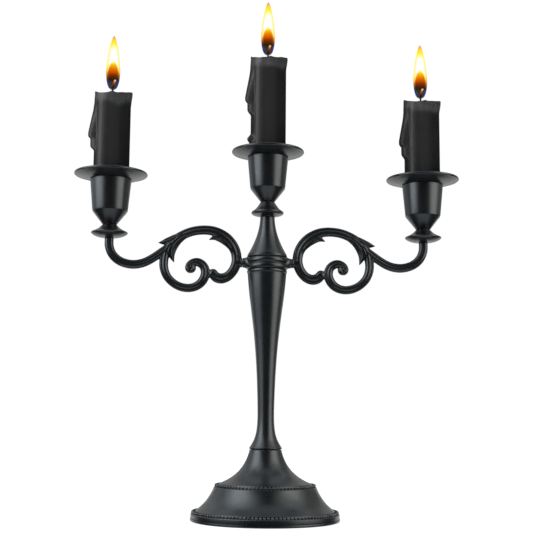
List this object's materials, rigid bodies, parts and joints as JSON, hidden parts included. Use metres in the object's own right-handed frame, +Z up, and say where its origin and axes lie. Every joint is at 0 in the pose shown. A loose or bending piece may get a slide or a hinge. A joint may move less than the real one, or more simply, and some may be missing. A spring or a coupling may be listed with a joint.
{
  "type": "tabletop candelabra",
  "caption": "Tabletop candelabra with a turned column on a stepped round foot, scrolled side arms, and candle cups with drip pans that hold lit taper candles.",
  "frame": {"origin": "centre of the felt pad's underside, on the table, on the column's axis", "axes": "+Z up along the column; the side arms lie along X, the right-hand one towards +X; -Y is the front. Left and right are as seen from the front."},
  "size_m": [0.2774, 0.103, 0.374],
  "materials": {
    "black_metal": "satin",
    "steel": "satin",
    "felt": "matte",
    "wax": "satin",
    "wick": "matte",
    "flame": "matte"
  },
  "bodies": {
    "column": {"foot_shell": "black_metal", "foot_plate": "steel", "foot_felt": "felt", "tie_rod": "steel", "tie_rod_washer": "steel", "tie_rod_nut": "steel", "stem": "black_metal", "bell_spindle": "black_metal", "centre_knop": "black_metal", "centre_cup": "black_metal", "centre_pan": "black_metal", "centre_cup_screw": "steel"},
    "arms": {"hub_ring": "black_metal", "left_arm": "black_metal", "right_arm": "black_metal", "left_arm_stud": "steel", "right_arm_stud": "steel", "left_knop": "black_metal", "left_cup": "black_metal", "left_pan": "black_metal", "left_cup_screw": "steel", "right_knop": "black_metal", "right_cup": "black_metal", "right_pan": "black_metal", "right_cup_screw": "steel"},
    "centre_candle": {"centre_candle": "wax", "centre_wick": "wick", "centre_flame": "flame"},
    "left_candle": {"left_candle": "wax", "left_wick": "wick", "left_flame": "flame"},
    "right_candle": {"right_candle": "wax", "right_wick": "wick", "right_flame": "flame"}
  },
  "joints": [
    {"name": "arms_swivel", "type": "hinge", "parent": "column", "child": "arms", "pos_m": [0, 0, 0.18], "axis": [0, 0, 1], "continuous": true},
    {"name": "centre_candle_lift", "type": "slide", "parent": "column", "child": "centre_candle", "axis": [0, 0, 1], "range_m": [0, 0.035]},
    {"name": "left_candle_lift", "type": "slide", "parent": "arms", "child": "left_candle", "axis": [0, 0, 1], "range_m": [0, 0.035]},
    {"name": "right_candle_lift", "type": "slide", "parent": "arms", "child": "right_candle", "axis": [0, 0, 1], "range_m": [0, 0.035]}
  ]
}
